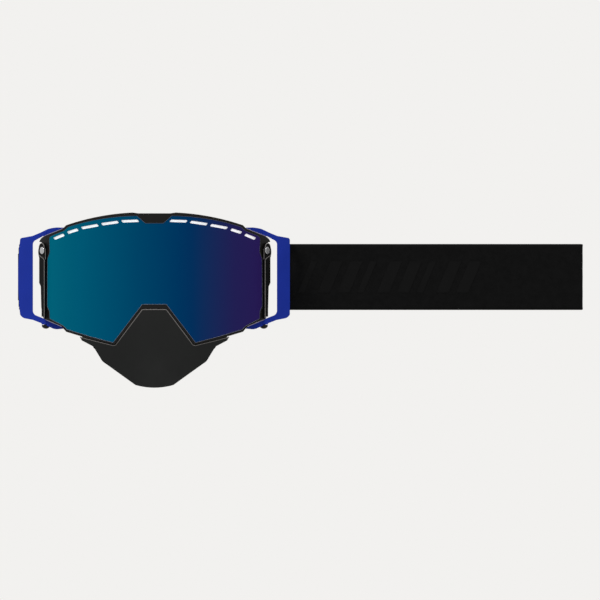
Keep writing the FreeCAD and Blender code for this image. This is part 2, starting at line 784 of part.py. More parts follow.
def strap_pin(side, role):
    half = "strap_lug_outer - strap_pin_inset"
    return cylinder(f"{side}_strap_{role}", "strap_pin_radius", f"-({half})", f"2 * ({half})",
                    mirrored(side, "strap_pin_x"), "strap_pin_y")


def strap_lug(side, level, low):
    """One lug behind the outrigger's bar, with a round end about the strap pin."""
    x = mirrored(side, "strap_pin_x")
    height = "strap_lug_outer - strap_lug_inner"
    end = cylinder(f"{side}_{level}_strap_lug_end", "strap_lug_half", low, height, x, "strap_pin_y")
    web = box(f"{side}_{level}_strap_lug_web", (f"{x} - strap_lug_half", "2 * strap_lug_half"),
              ("strap_lug_front", "strap_pin_y - strap_lug_front"), (low, height))
    behind = cut(f"{side}_{level}_strap_lug_trim", web,
                 shell(f"{side}_{level}_strap_lug_front", "head_axis_y", "2 * outrigger_radius",
                       "outrigger_radius - strap_lug_bite"))
    return fuse(f"{side}_{level}_strap_lug", end, behind)


def make_levers():
    """The lens lock levers and their pins, flat against the frame's front."""
    shanks = lever_shanks("lever_shank")
    for side, shank in zip(SIDES, shanks):
        body = doc.addObject("PartDesign::Body", f"lever_blank_{side}")
        plane = next(item for item in body.Origin.OriginFeatures if item.Role == "XZ_Plane")
        sketch = body.newObject("Sketcher::SketchObject", f"lever_{side}_outline")
        sketch.AttachmentSupport = (plane, [""])
        sketch.MapMode = "FlatFace"
        trace(sketch, side_outline("lever", LEVER, side))
        pad = body.newObject("PartDesign::Pad", f"lever_{side}_plate")
        pad.Profile = sketch
        bind(pad, Length="lever_sheet")
        seat_on_lens(body, side, "-front_radius - lever_gap")
        bore = doc.addObject("Part::Cylinder", f"lever_bore_{side}")
        bind(bore, Radius="lever_pin_radius + lever_clearance", Height="reach")
        seat_on_lens(bore, side, "-front_radius + lever_sheet", 90)
        keep(cut(f"lever_{side}_part", body, bore), f"lens_lever_{side}")
        head = doc.addObject("Part::Cylinder", f"lever_head_{side}")
        bind(head, Radius="lever_head_radius", Height="lever_head_height")
        seat_on_lens(head, side, "-front_radius - lever_gap - lever_sheet - lever_head_gap", 90)
        keep(fuse(f"lever_pin_{side}_part", head, shank), f"lever_pin_{side}")


def make_nose_guard():
    """The guard is a thin shell, bent round both ways, with snap studs behind it."""
    def dome(name, shrink):
        item = doc.addObject("Part::Ellipsoid", name)
        bind(item, Radius1=f"guard_upright_radius - {shrink}", Radius2=f"guard_radius - {shrink}",
             Radius3=f"guard_radius - {shrink}")
        item.Angle1 = -90
        item.Angle2 = 90
        place(item, "0", "lens_axis_y", "guard_centre_z")
        return item
    shell_part = cut("guard_shell", dome("guard_dome_outer", "0"), dome("guard_dome_inner", "guard_sheet"))
    keep(common("guard_part", extruded("guard_block", guard_line), shell_part), "nose_guard")
    group = doc.addObject("Part::Compound", "guard_stud_group")
    group.Links = [cut(f"{stud.Name}_trim", stud, dome_tool(index))
                   for index, stud in enumerate(stud_shapes("stud", "stud_radius"))]
    keep(group, "guard_studs")


def dome_tool(index):
    """The space in front of the guard's rear face, to trim a stud against it."""
    block = box(f"stud_trim_block_{index}", ("-reach / 2", "reach"), ("-block_front", "reach"),
                ("-reach", "reach"))
    dome = doc.addObject("Part::Ellipsoid", f"stud_trim_dome_{index}")
    bind(dome, Radius1="guard_upright_radius - guard_sheet", Radius2="guard_radius - guard_sheet",
         Radius3="guard_radius - guard_sheet")
    dome.Angle1 = -90
    dome.Angle2 = 90
    place(dome, "0", "lens_axis_y", "guard_centre_z")
    return cut(f"stud_trim_{index}", block, dome)


def strap_loop(side):
    """The outer and the inner cylinder of the strap's loop round its pin."""
    x = mirrored(side, "strap_pin_x")
    outer = cylinder(f"{side}_loop_outer", "strap_loop_radius + strap_sheet", "-strap_height / 2",
                     "strap_height", x, "strap_pin_y")
    inner = cylinder(f"{side}_loop_inner", "strap_loop_radius", "-strap_height / 2", "strap_height", x,
                     "strap_pin_y")
    return outer, inner


STRAP_Z = ("-strap_height / 2", "strap_height")
WEBBING_Z = ("-webbing_height / 2", "webbing_height")
RUN_Y = "strap_pin_y - strap_loop_radius - strap_sheet"
HEM_Y = f"{RUN_Y} + strap_sheet + strap_fold_gap"
WEBBING_Y = f"{HEM_Y} + strap_sheet"
FOLD_X = "strap_end_x - strap_sheet - strap_fold_gap / 2"
FOLD_Y = f"{RUN_Y} + strap_sheet + strap_fold_gap / 2"


def make_long_strap():
    """The wide strap: a loop on the right pin, a straight run, a fold and a hem behind the run."""
    outer, inner = strap_loop("right")
    run = box("strap_run", ("strap_pin_x", f"{FOLD_X} - strap_pin_x"), (RUN_Y, "strap_sheet"), STRAP_Z)
    tail_start = "strap_pin_x + strap_loop_radius"
    tail = box("strap_tail", (tail_start, f"strap_tail_end - ({tail_start})"),
               (f"{RUN_Y} + strap_sheet", "strap_sheet"), STRAP_Z)
    filler = box("strap_loop_rear", ("strap_pin_x", "strap_loop_radius + strap_sheet"),
                 (f"{RUN_Y} + strap_sheet", "strap_loop_radius * 2 + strap_sheet"), STRAP_Z)
    fold_outer = cylinder("fold_outer", "strap_sheet + strap_fold_gap / 2", *STRAP_Z, FOLD_X, FOLD_Y)
    fold_inner = cylinder("fold_inner", "strap_fold_gap / 2", *STRAP_Z, FOLD_X, FOLD_Y)
    fold_half = box("fold_half", (FOLD_X, "reach"), (RUN_Y, "reach"), STRAP_Z)
    fold = common("fold_part", cut("fold_ring", fold_outer, fold_inner), fold_half)
    hem = box("strap_hem", ("strap_hem_start", f"{FOLD_X} - strap_hem_start"), (HEM_Y, "strap_sheet"),
              STRAP_Z)
    solid = fuse("long_strap_solid", outer, run, tail, filler, fold, hem)
    keep(cut("long_strap_part", solid, inner), "strap_long")
    lines = []
    for index, level in enumerate((-1, 0, 1)):
        low = f"{level} * grip_spacing - grip_height / 2"
        lines.append(box(f"grip_line_{index}", ("grip_start", "grip_end - grip_start"),
                         (f"{RUN_Y} + strap_sheet", "grip_sheet"), (low, "grip_height")))
    group = doc.addObject("Part::Compound", "grip_line_group")
    group.Links = lines
    keep(group, "strap_grip_lines")


def make_adjuster():
    """The narrow webbing behind the strap, and the slider that it is threaded through."""
    keep(box("webbing_run", ("webbing_start", "webbing_end - webbing_start"), (WEBBING_Y, "webbing_sheet"),
             WEBBING_Z), "adjuster_webbing")
    rails = []
    for index, low in enumerate(("-slider_height / 2", "slider_height / 2 - slider_rail")):
        rails.append(box(f"slider_rail_{index}", ("slider_start", "slider_length"),
                         (f"{WEBBING_Y} - slider_sheet - slider_clearance",
                          "2 * slider_sheet + 2 * slider_clearance + webbing_sheet"), (low, "slider_rail")))
    span = ("-slider_height / 2", "slider_height")
    for index, low in enumerate(("slider_start", "slider_start + slider_length - slider_bar")):
        rails.append(box(f"slider_bar_{index}", (low, "slider_bar"),
                         (f"{WEBBING_Y} - slider_sheet - slider_clearance", "slider_sheet"), span))
    rails.append(box("slider_cross", ("slider_start + slider_length / 2 - slider_bar / 2", "slider_bar"),
                     (f"{WEBBING_Y} + webbing_sheet + slider_clearance", "slider_sheet"), span))
    keep(fuse("slider_part", *rails), "strap_slider")


def make_short_strap():
    """The short strap: a loop on the left pin and a doubled end that runs back to the buckle socket."""
    outer, inner = strap_loop("left")
    run = box("stub_run", ("-strap_pin_x - strap_sheet", "2 * strap_sheet"), ("strap_pin_y", "stub_length"),
              STRAP_Z)
    keep(cut("short_strap_part", fuse("short_strap_solid", outer, run), inner), "strap_short")


def make_buckle():
    """The plug has a plate and two prongs; the socket is a flat box that is open at the back."""
    plug_y = f"{WEBBING_Y} + webbing_sheet / 2"
    height = ("-buckle_height / 2", "buckle_height")
    plate = box("plug_plate", ("plug_start + plug_length - buckle_plate", "buckle_plate"),
                (f"{plug_y} - buckle_sheet / 2", "buckle_sheet"), height)
    slot = box("plug_slot",
               ("plug_start + plug_length - plug_slot_depth", "plug_slot_depth + cutter_overrun"),
               (f"{plug_y} - webbing_sheet / 2 - buckle_clearance", "webbing_sheet + 2 * buckle_clearance"),
               ("-webbing_height / 2 - plug_slot_margin", "webbing_height + 2 * plug_slot_margin"))
    tongues = []
    reach = ("plug_start", "plug_length - buckle_plate + prong_bite")
    depth = (f"{plug_y} - plug_tongue / 2", "plug_tongue")
    for index, low in enumerate(("-buckle_height / 2 + prong_inset", "-prong_width / 2",
                                 "buckle_height / 2 - prong_inset - prong_width")):
        tongues.append(box(f"plug_prong_{index}", reach, depth, (low, "prong_width")))
    keep(cut("plug_part", fuse("plug_solid", plate, *tongues), slot), "buckle_plug")
    start = "strap_pin_y + stub_length - throat_depth"
    case = box("socket_case", ("-strap_pin_x - buckle_sheet / 2", "buckle_sheet"),
               (start, "socket_length"), height)
    across = ("-strap_pin_x - buckle_sheet / 2 + socket_wall", "buckle_sheet - 2 * socket_wall")
    hollow = box("socket_hollow", across, (f"{start} + socket_floor", "socket_length"),
                 ("-buckle_height / 2 + socket_wall", "buckle_height - 2 * socket_wall"))
    throat = box("socket_throat", ("-strap_pin_x - strap_sheet - strap_clearance",
                                   "2 * strap_sheet + 2 * strap_clearance"),
                 (f"{start} - cutter_overrun", "cutter_overrun + throat_depth + buckle_clearance"),
                 ("-reach / 2", "reach"))
    windows = []
    for index, low in enumerate(("-buckle_height / 2", "buckle_height / 2 - socket_wall")):
        windows.append(box(f"socket_window_{index}", across,
                           (f"{start} + socket_window_start", "socket_window_length"),
                           (f"{low} - cutter_overrun", "socket_wall + 2 * cutter_overrun")))
    keep(cut("socket_part", case, fuse("socket_space", hollow, throat, *windows)), "buckle_socket")


vent_pockets = make_vent_pockets()
make_frame()
make_face_side()
make_gasket()
make_vent_foam()
make_lens_unit()
make_outriggers()
make_levers()
make_nose_guard()
make_long_strap()
make_adjuster()
make_short_strap()
make_buckle()
doc.recompute()

failed = [item.Name for item in doc.Objects if "Invalid" in item.State or "Error" in item.State]
if failed:
    raise RuntimeError(f"features that failed: {failed}")
for node in nodes:
    if node.Shape.isNull() or not node.Shape.isValid():
        raise RuntimeError(f"sub-part without a valid shape: {node.Label}")

os.makedirs("parts", exist_ok=True)
for node in nodes:
    node.Shape.exportStep(f"parts/{node.Label}.step")
    size = node.Shape.BoundBox
    print(f"{node.Label:22s} solids {len(node.Shape.Solids)} volume {node.Shape.Volume:9.1f} "
          f"x {size.XMin:7.1f} {size.XMax:7.1f} y {size.YMin:6.1f} {size.YMax:6.1f} "
          f"z {size.ZMin:6.1f} {size.ZMax:6.1f}")
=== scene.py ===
import math

import bmesh
import bpy
from mathutils import Matrix, Vector, noise


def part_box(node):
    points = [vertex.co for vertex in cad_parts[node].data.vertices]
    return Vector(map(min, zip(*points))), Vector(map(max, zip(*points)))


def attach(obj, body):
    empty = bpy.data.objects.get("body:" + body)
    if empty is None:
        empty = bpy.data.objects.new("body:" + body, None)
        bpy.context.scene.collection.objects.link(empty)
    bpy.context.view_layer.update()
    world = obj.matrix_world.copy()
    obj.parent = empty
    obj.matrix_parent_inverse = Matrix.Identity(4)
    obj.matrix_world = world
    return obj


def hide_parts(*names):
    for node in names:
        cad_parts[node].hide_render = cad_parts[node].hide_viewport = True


# Ski goggles: the looks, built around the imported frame. Metres, +Z up, the lens looks along -Y.

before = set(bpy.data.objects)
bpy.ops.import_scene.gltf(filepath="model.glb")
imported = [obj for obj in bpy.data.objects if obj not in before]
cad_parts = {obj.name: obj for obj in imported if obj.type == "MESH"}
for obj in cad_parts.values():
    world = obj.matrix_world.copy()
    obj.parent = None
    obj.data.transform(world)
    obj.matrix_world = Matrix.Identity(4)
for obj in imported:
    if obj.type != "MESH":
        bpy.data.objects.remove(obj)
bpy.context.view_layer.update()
MM = 0.001

# ---------------------------------------------------------------- colours and material parts


def srgb(red, green, blue):
    """A linear colour from 0 to 255 display values."""
    linear = []
    for value in (red, green, blue):
        if value > 10:
            linear.append(((value / 255 + 0.055) / 1.055) ** 2.4)
        else:
            linear.append(value / 255 / 12.92)
    return (*linear, 1.0)


PATCH_LOW, PATCH_HIGH = 0.3, 0.7


class Nodes:
    """A material's node tree, with short ways to add and join nodes."""

    def __init__(self, name):
        self.material = bpy.data.materials.new(name)
        self.material.use_nodes = True
        self.tree = self.material.node_tree
        self.shader = self.tree.nodes["Principled BSDF"]

    def add(self, kind, **values):
        """A new node; each value sets the input of that name, or else the node's own setting."""
        node = self.tree.nodes.new(kind)
        for key, value in values.items():
            if key in node.inputs.keys():
                node.inputs[key].default_value = value
            else:
                setattr(node, key, value)
        return node

    def join(self, source, target):
        self.tree.links.new(source, target)

    def set(self, **values):
        """Set inputs of the main shader; an underscore stands for a space in the input's name."""
        for key, value in values.items():
            self.shader.inputs[key.replace("_", " ")].default_value = value

    def place(self):
        """The point's place in the shared frame."""
        return self.add("ShaderNodeTexCoord").outputs["Object"]

    def mapped(self, scale):
        mapping = self.add("ShaderNodeMapping")
        mapping.inputs["Scale"].default_value = scale
        self.join(self.place(), mapping.inputs["Vector"])
        return mapping.outputs["Vector"]

    def noise(self, scale, detail=4.0, stretch=(1, 1, 1)):
        texture = self.add("ShaderNodeTexNoise", Scale=scale, Detail=detail)
        self.join(self.mapped(stretch), texture.inputs["Vector"])
        return texture.outputs["Fac"]

    def ramp(self, source, stops):
        """A colour ramp with (position, colour) stops."""
        ramp = self.add("ShaderNodeValToRGB")
        elements = ramp.color_ramp.elements
        while len(elements) < len(stops):
            elements.new(0.5)
        for element, (position, colour) in zip(elements, stops):
            element.position = position
            element.color = colour
        self.join(source, ramp.inputs["Fac"])
        return ramp.outputs["Color"]

    def math(self, operation, *values):
        node = self.add("ShaderNodeMath", operation=operation)
        for socket, value in zip(node.inputs, values):
            if isinstance(value, (int, float)):
                socket.default_value = value
            else:
                self.join(value, socket)
        return node.outputs[0]

    def bump(self, height, strength, distance):
        node = self.add("ShaderNodeBump", Strength=strength, Distance=distance)
        self.join(height, node.inputs["Height"])
        self.join(node.outputs["Normal"], self.shader.inputs["Normal"])

    def tint(self, colour, spread, scale):
        """The base colour with soft light and dark patches."""
        dark = tuple(c * (1 - spread) for c in colour[:3]) + (1.0,)
        light = tuple(min(1.0, c * (1 + spread)) for c in colour[:3]) + (1.0,)
        patches = self.ramp(self.noise(scale), [(PATCH_LOW, dark), (PATCH_HIGH, light)])
        self.join(patches, self.shader.inputs["Base Color"])

    def roughness(self, low, high, scale):
        """A gloss that wanders between two values."""
        stops = [(PATCH_LOW, (low,) * 3 + (1,)), (PATCH_HIGH, (high,) * 3 + (1,))]
        self.join(self.ramp(self.noise(scale, 6.0), stops), self.shader.inputs["Roughness"])


def moulded(name, colour, rough=(0.42, 0.55), grain=2600.0, depth=0.00004, spread=0.10,
            specular=0.22):
    """Moulded plastic: fine spark-eroded grain, slight colour patches and uneven gloss."""
    nodes = Nodes(name)
    nodes.tint(colour, spread, 55.0)
    nodes.roughness(*rough, 180.0)
    nodes.set(Specular_IOR_Level=specular)
    nodes.bump(nodes.noise(grain, 3.0), 0.35, depth)
    return nodes.material


def foam(name, colour, cell=1400.0, depth=0.00025):
    """Open-cell foam: small pits of uneven size."""
    nodes = Nodes(name)
    nodes.tint(colour, 0.25, 120.0)
    nodes.set(Roughness=0.95, Specular_IOR_Level=0.05)
    cells = nodes.add("ShaderNodeTexVoronoi", Scale=cell, feature="F1")
    nodes.join(nodes.place(), cells.inputs["Vector"])
    height = nodes.math("ADD", cells.outputs["Distance"], nodes.noise(cell * 1.7))
    nodes.bump(height, 0.7, depth)
    return nodes.material


def fleece(name, colour):
    """Brushed fleece: a soft nap with a light sheen."""
    nodes = Nodes(name)
    nodes.tint(colour, 0.30, 420.0)
    nodes.set(Roughness=1.0, Specular_IOR_Level=0.0, Sheen_Weight=0.35, Sheen_Roughness=0.6)
    nodes.bump(nodes.noise(2600.0, 8.0, (1, 1, 0.5)), 0.8, 0.0003)
    return nodes.material


# Strength of the felt's emission: a painted glow that offsets the shade in the vent slots.
FELT_PAINTED_GLOW = 0.6


def felt(name, colour):
    """White felt with a painted glow: an emission that lights the felt in its shaded slots."""
    material = fleece(name, colour)
    shader = material.node_tree.nodes["Principled BSDF"]
    shader.inputs["Emission Color"].default_value = colour
    shader.inputs["Emission Strength"].default_value = FELT_PAINTED_GLOW
    return material


def woven(name, colour, across=900.0, along=520.0, depth=0.00012, sheen=0.04):
    """Woven elastic: cords that run along the strap, crossed by the weft."""
    nodes = Nodes(name)
    nodes.tint(colour, 0.22, 260.0)
    nodes.set(Roughness=0.82, Specular_IOR_Level=0.06, Sheen_Weight=sheen, Sheen_Roughness=0.5)
    place = nodes.place()
    waves = []
    for axis, scale in (("Z", across), ("X", along)):
        wave = nodes.add("ShaderNodeTexWave", wave_type="BANDS", bands_direction=axis, Scale=scale,
                         Distortion=0.6)
        nodes.join(place, wave.inputs["Vector"])
        waves.append(wave.outputs["Fac"])
    height = nodes.math("ADD", nodes.math("MULTIPLY", waves[0], waves[1]), nodes.noise(1500.0))
    nodes.bump(height, 0.6, depth)
    return nodes.material


def metal(name, colour, rough, brushed=(1, 1, 1)):
    """Bare metal with faint brush marks, stretched along one axis where brushed says so."""
    nodes = Nodes(name)
    nodes.tint(colour, 0.05, 300.0)
    nodes.set(Metallic=1.0)
    nodes.roughness(rough, rough + 0.08, 500.0)
    nodes.bump(nodes.noise(3000.0, 2.0, brushed), 0.15, 0.00002)
    return nodes.material


LENS_HALF_WIDTH = 0.0806
MIRROR = 0.5
MIRROR_FALLOFF = 6.0
COATING = [
    (-0.078, srgb(0, 98, 121)),
    (-0.056, srgb(0, 93, 122)),
    (-0.035, srgb(0, 83, 116)),
    (-0.014, srgb(0, 72, 109)),
    (0.017, srgb(0, 58, 102)),
    (0.028, srgb(4, 52, 99)),
    (0.038, srgb(19, 47, 96)),
    (0.060, srgb(38, 35, 91)),
    (0.078, srgb(42, 29, 89)),
]


def coated_lens(name):
    """Mirror-coated lens: the colour of the coating drifts from teal to violet across the sheet."""
    nodes = Nodes(name)
    split = nodes.add("ShaderNodeSeparateXYZ")
    nodes.join(nodes.place(), split.inputs["Vector"])
    low, high = COATING[0][0], COATING[-1][0]
    across = nodes.math("DIVIDE", nodes.math("SUBTRACT", split.outputs["X"], low), high - low)
    stops = [((x - low) / (high - low), colour) for x, colour in COATING]
    nodes.join(nodes.ramp(across, stops), nodes.shader.inputs["Base Color"])
    edge = nodes.math("DIVIDE", nodes.math("ABSOLUTE", split.outputs["X"]), LENS_HALF_WIDTH)
    thin = nodes.math("POWER", edge, MIRROR_FALLOFF)
    nodes.join(nodes.math("MULTIPLY_ADD", thin, -MIRROR, MIRROR), nodes.shader.inputs["Metallic"])
    nodes.set(Specular_IOR_Level=0.0)
    nodes.roughness(0.22, 0.27, 60.0)
    return nodes.material


def clear_lens(name):
    """Clear sheet with a faint grey tint."""
    nodes = Nodes(name)
    nodes.tint(srgb(150, 160, 165), 0.03, 40.0)
    nodes.set(Transmission_Weight=0.85, IOR=1.5)
    nodes.roughness(0.03, 0.06, 90.0)
    return nodes.material


MATERIALS = {
    "frame": moulded("frame_grain", srgb(13, 11, 9), specular=0.19),
    "face_flange": moulded("flange_grain", srgb(26, 26, 26)),
    "foam_base": foam("foam_dense_cells", srgb(38, 38, 40), 1900.0),
    "foam_middle": foam("foam_soft_cells", srgb(52, 52, 55), 1100.0),
    "foam_fleece": fleece("fleece_nap", srgb(30, 30, 32)),
    "lens_gasket": foam("gasket_cells", srgb(20, 20, 20), 2600.0, 0.0001),
    "vent_foam": foam("vent_foam_cells", srgb(44, 44, 46), 1000.0),
    "hinge_pins": moulded("pin_satin", srgb(16, 16, 16), rough=(0.30, 0.40)),
    "lever_pin": metal("pin_polish", srgb(205, 205, 206), 0.22),
    "outer_lens": coated_lens("lens_coating"),
    "lens_spacer": foam("spacer_cells", srgb(18, 18, 18), 2600.0, 0.0001),
    "inner_lens": clear_lens("lens_clear_sheet"),
    "vent_filter": felt("filter_felt", srgb(253, 253, 253)),
    "nose_guard": moulded("guard_skin", srgb(20, 21, 20), rough=(0.46, 0.56), grain=1900.0,
                          specular=0.20),
    "guard_studs": moulded("stud_satin", srgb(24, 24, 24)),
    "outrigger": moulded("outrigger_satin", srgb(26, 47, 145), rough=(0.45, 0.55), grain=3200.0,
                         depth=0.00002, spread=0.05, specular=0.05),
    "strap_pin": metal("strap_pin_brushed", srgb(150, 150, 152), 0.32, (1, 1, 12)),
    "lens_lever": moulded("lever_satin", srgb(11, 11, 11), rough=(0.40, 0.5), specular=0.07),
    "strap": woven("strap_elastic", srgb(10, 10, 10), sheen=0.02),
    "strap_grip_lines": moulded("silicone_skin", srgb(28, 28, 28), rough=(0.35, 0.5), grain=900.0),
    "adjuster_webbing": woven("webbing_weave", srgb(19, 19, 19), 1300.0, 700.0, 0.00018),
    "buckle": moulded("buckle_satin", srgb(24, 24, 24), rough=(0.36, 0.48)),
    "strap_slider": moulded("slider_satin", srgb(24, 24, 24), rough=(0.36, 0.48)),
    # Painted highlight: pale grey for the bead on the nose guard's edge.
    "edge_line": moulded("guard_painted_highlight", srgb(98, 95, 93), rough=(0.5, 0.6)),
    # Painted highlight: pale grey for the beads on the bezel's edges.
    "shoulder_line": moulded("bezel_painted_highlight", srgb(128, 121, 136), rough=(0.5, 0.6)),
    # Painted highlight: pale grey for the beads round the levers.
    "lever_line": moulded("lever_painted_highlight", srgb(118, 115, 112), rough=(0.5, 0.6)),
    # Painted highlight: grey for the bead round the lens edge.
    "lens_edge": moulded("lens_painted_highlight", srgb(96, 99, 108), rough=(0.5, 0.6)),
    "stitching": woven("thread", srgb(30, 30, 31), 4000.0, 4000.0, 0.00005),
    "print": moulded("strap_print", srgb(15, 15, 15), rough=(0.6, 0.7), grain=1500.0,
                     specular=0.04),
}


def material_for(node):
    """The material whose name starts the node's name, the longest such name first."""
    for key in sorted(MATERIALS, key=len, reverse=True):
        if node.startswith(key):
            return MATERIALS[key]
    raise KeyError(node)


WELD_DISTANCE = 0.000002
FLAT_ANGLE = math.radians(0.4)
EDGE_ANGLE = math.radians(28)
EDGE_SEGMENTS = 3


def finish_node(node, bevel):
    """Give a CAD node its material, clean flat faces and softly rounded edges."""
    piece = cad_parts[node]
    piece.data.materials.clear()
    piece.data.materials.append(material_for(node))
    for polygon in piece.data.polygons:
        polygon.use_smooth = True
    weld = piece.modifiers.new("weld", "WELD")
    weld.merge_threshold = WELD_DISTANCE
    if bevel:
        flat = piece.modifiers.new("flat_faces", "DECIMATE")
        flat.decimate_type = "DISSOLVE"
        flat.angle_limit = FLAT_ANGLE
        edges = piece.modifiers.new("rounded_edges", "BEVEL")
        edges.width = bevel
        edges.segments = EDGE_SEGMENTS
        edges.limit_method = "ANGLE"
        edges.angle_limit = EDGE_ANGLE
        edges.harden_normals = True
    smooth = piece.modifiers.new("even_shading", "WEIGHTED_NORMAL")
    smooth.keep_sharp = False


# ---------------------------------------------------------------- made pieces


def new_piece(name, mesh, material, smooth=True):
    """An object of the looks, with one material."""
    piece = bpy.data.objects.new(name, mesh)
    bpy.context.scene.collection.objects.link(piece)
    mesh.materials.clear()
    mesh.materials.append(material)
    for polygon in mesh.polygons:
        polygon.use_smooth = smooth
    return piece


def applied(piece):
    """Bake the piece's modifiers into its mesh."""
    graph = bpy.context.evaluated_depsgraph_get()
    graph.update()
    mesh = bpy.data.meshes.new_from_object(piece.evaluated_get(graph))
    piece.modifiers.clear()
    piece.data = mesh
    for polygon in mesh.polygons:
        polygon.use_smooth = True


FOAM_BROAD_WAVE = 90.0
FOAM_FINE_WAVE = 240.0


def soft_copy(node, body, voxel, relax, swell, unevenness):
    """A foam layer: the CAD solid with rounded edges, slightly swollen and a little uneven."""
    piece = new_piece(f"{node}_soft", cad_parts[node].data.copy(), material_for(node))
    remesh = piece.modifiers.new("voxels", "REMESH")
    remesh.mode = "VOXEL"
    remesh.voxel_size = voxel
    applied(piece)
    form = bmesh.new()
    form.from_mesh(piece.data)
    for _ in range(relax):
        bmesh.ops.smooth_vert(form, verts=form.verts, factor=0.5, use_axis_x=True, use_axis_y=True,
                              use_axis_z=True)
    form.normal_update()
    for vertex in form.verts:
        broad = noise.noise(vertex.co * FOAM_BROAD_WAVE)
        wave = broad + 0.5 * noise.noise(vertex.co * FOAM_FINE_WAVE)
        vertex.co += vertex.normal * (swell + unevenness * wave)
    form.to_mesh(piece.data)
    form.free()
    piece.data.materials.clear()
    piece.data.materials.append(material_for(node))
    for polygon in piece.data.polygons:
        polygon.use_smooth = True
    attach(piece, body)
    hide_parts(node)


SELVEDGE_REACH = 4 * MM
SELVEDGE_SHARE = 0.6
SELVEDGE_RISE = 0.00012
CORD_PITCH = 0.0024
CORD_DEPTH = 0.00003
END_NARROWING = 0.82


def swept(name, path, height, thickness, material, rows=24):
    """Webbing: an upright band swept along a plan path, with rounded edges and raised selvedges."""
    form = bmesh.new()
    profile = band_profile(height / 2, thickness / 2, rows)
    tangents = []
    for index in range(len(path)):
        before = path[max(index - 1, 0)]
        after = path[min(index + 1, len(path) - 1)]
        tangents.append((Vector(after) - Vector(before)).normalized())
    rings = []
    for index, (x, y) in enumerate(path):
        tangent = tangents[index]
        side = Vector((-tangent.y, tangent.x))
        narrow = END_NARROWING if index in (0, len(path) - 1) else 1.0
        ring = [form.verts.new((x + side.x * offset * narrow, y + side.y * offset * narrow, up))
                for offset, up in profile]
        rings.append(ring)
    count = len(profile)
    for first, second in zip(rings, rings[1:]):
        for index in range(count):
            after = (index + 1) % count
            form.faces.new((first[index], first[after], second[after], second[index]))
    form.faces.new(rings[0][::-1])
    form.faces.new(rings[-1])
    bmesh.ops.recalc_face_normals(form, faces=form.faces)
    mesh = bpy.data.meshes.new(name)
    form.to_mesh(mesh)
    form.free()
    return new_piece(name, mesh, material)


def band_profile(half, thick, rows):
    """The band's section: (offset, height) points round it, rounded at both edges."""
    heights = [-half + thick * 0.7 + (2 * half - thick * 1.4) * k / rows for k in range(rows + 1)]

    def face(up):
        """How far the face stands from the middle: thicker at the selvedges, waved by the cords."""
        edge = min(half - abs(up), SELVEDGE_REACH) / SELVEDGE_REACH
        rise = SELVEDGE_RISE if edge < SELVEDGE_SHARE else 0.0
        return thick + rise + CORD_DEPTH * math.cos(up * 2 * math.pi / CORD_PITCH)

    front = [(-face(up), up) for up in heights]
    top = [(-thick * 0.6, half - thick * 0.2), (0.0, half), (thick * 0.6, half - thick * 0.2)]
    back = [(face(up), up) for up in heights[::-1]]
    bottom = [(thick * 0.6, -half + thick * 0.2), (0.0, -half), (-thick * 0.6, -half + thick * 0.2)]
    return front + top + back + bottom


LINE_STEP = 1 * MM
LINE_RADIUS = 0.00024


def bead(name, points, radius, material, body):
    """A thin raised line through the points."""
    curve = bpy.data.curves.new(name, "CURVE")
    curve.dimensions = "3D"
    curve.bevel_depth = radius
    curve.bevel_resolution = 3
    curve.use_fill_caps = True
    spline = curve.splines.new("POLY")
    spline.points.add(len(points) - 1)
    for point, place in zip(spline.points, points):
        point.co = (*place, 1.0)
    source = bpy.data.objects.new(name, curve)
    bpy.context.scene.collection.objects.link(source)
    mesh = bpy.data.meshes.new_from_object(source)
    bpy.data.objects.remove(source)
    piece = new_piece(name, mesh, material)
    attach(piece, body)
    return piece


def densify(points, step):
    """The same line with points no further apart than the step."""
    dense = [Vector(points[0])]
    for first, second in zip(points, points[1:]):
        first, second = Vector(first), Vector(second)
        count = max(1, math.ceil((second - first).length / step))
        dense += [first.lerp(second, k / count) for k in range(1, count + 1)]
    return dense


GUARD_CENTRE = Vector((0.0, 50.0, -20.0)) * MM
GUARD_RADIUS = 101.5 * MM
GUARD_UPRIGHT_RADIUS = 151.5 * MM
GUARD_LINE_RADIUS = 0.00036
GUARD_LINE_SINK = 0.00005
GUARD_EDGE = [(55.7, -45.1), (48.7, -47.0), (30.6, -51.4), (28.9, -51.0), (8.9, -24.5)]


def make_guard_edge_highlight():
    """A raised bead along the nose guard's upper edge, on its curved front, in a pale grey that
    paints the edge highlight.
    """
    half = [(x * MM, z * MM) for x, z in GUARD_EDGE]
    line = half + [(-x, z) for x, z in half[::-1]]
    points = []
    for x, z in densify(line, LINE_STEP):
        upright = (z - GUARD_CENTRE.z) / GUARD_UPRIGHT_RADIUS
        depth = math.sqrt(GUARD_RADIUS ** 2 * (1 - upright ** 2) - x ** 2)
        points.append((x, GUARD_CENTRE.y - depth + GUARD_LINE_SINK, z))
    bead("guard_edge_line", points, GUARD_LINE_RADIUS, MATERIALS["edge_line"], "nose_guard")


LEVER_FACE = 102.65 * MM
LEVER_SIDE = 101.7 * MM
LEVER_ANGLE = math.radians(55.0)
LEVER_HEIGHT = 19.8 * MM
LENS_AXIS_Y = 50.0 * MM
LEVER_LINES = {
    "head": (LEVER_FACE,
             [(4.6, 3.0), (3.2, 5.0), (1.2, 5.5), (-0.8, 4.9), (-2.0, 3.2), (-2.4, 1.4)]),
    "head_side": (LEVER_SIDE, [(-2.4, 1.4), (-2.4, -6.6)]),
    "collar": (LEVER_FACE, [(5.2, -3.5), (1.2, -5.0), (-2.2, -6.8)]),
    "bar": (LEVER_FACE, [(-2.25, -6.8), (-2.25, -50.6)]),
}


def on_lens_side(sign, radius, along, up):
    """A point by its radius from the lens axis, its way along the lever's plate and its height."""
    x = radius * math.sin(LEVER_ANGLE) + along * math.cos(LEVER_ANGLE)
    y = LENS_AXIS_Y - radius * math.cos(LEVER_ANGLE) + along * math.sin(LEVER_ANGLE)
    return (sign * x, y, up)


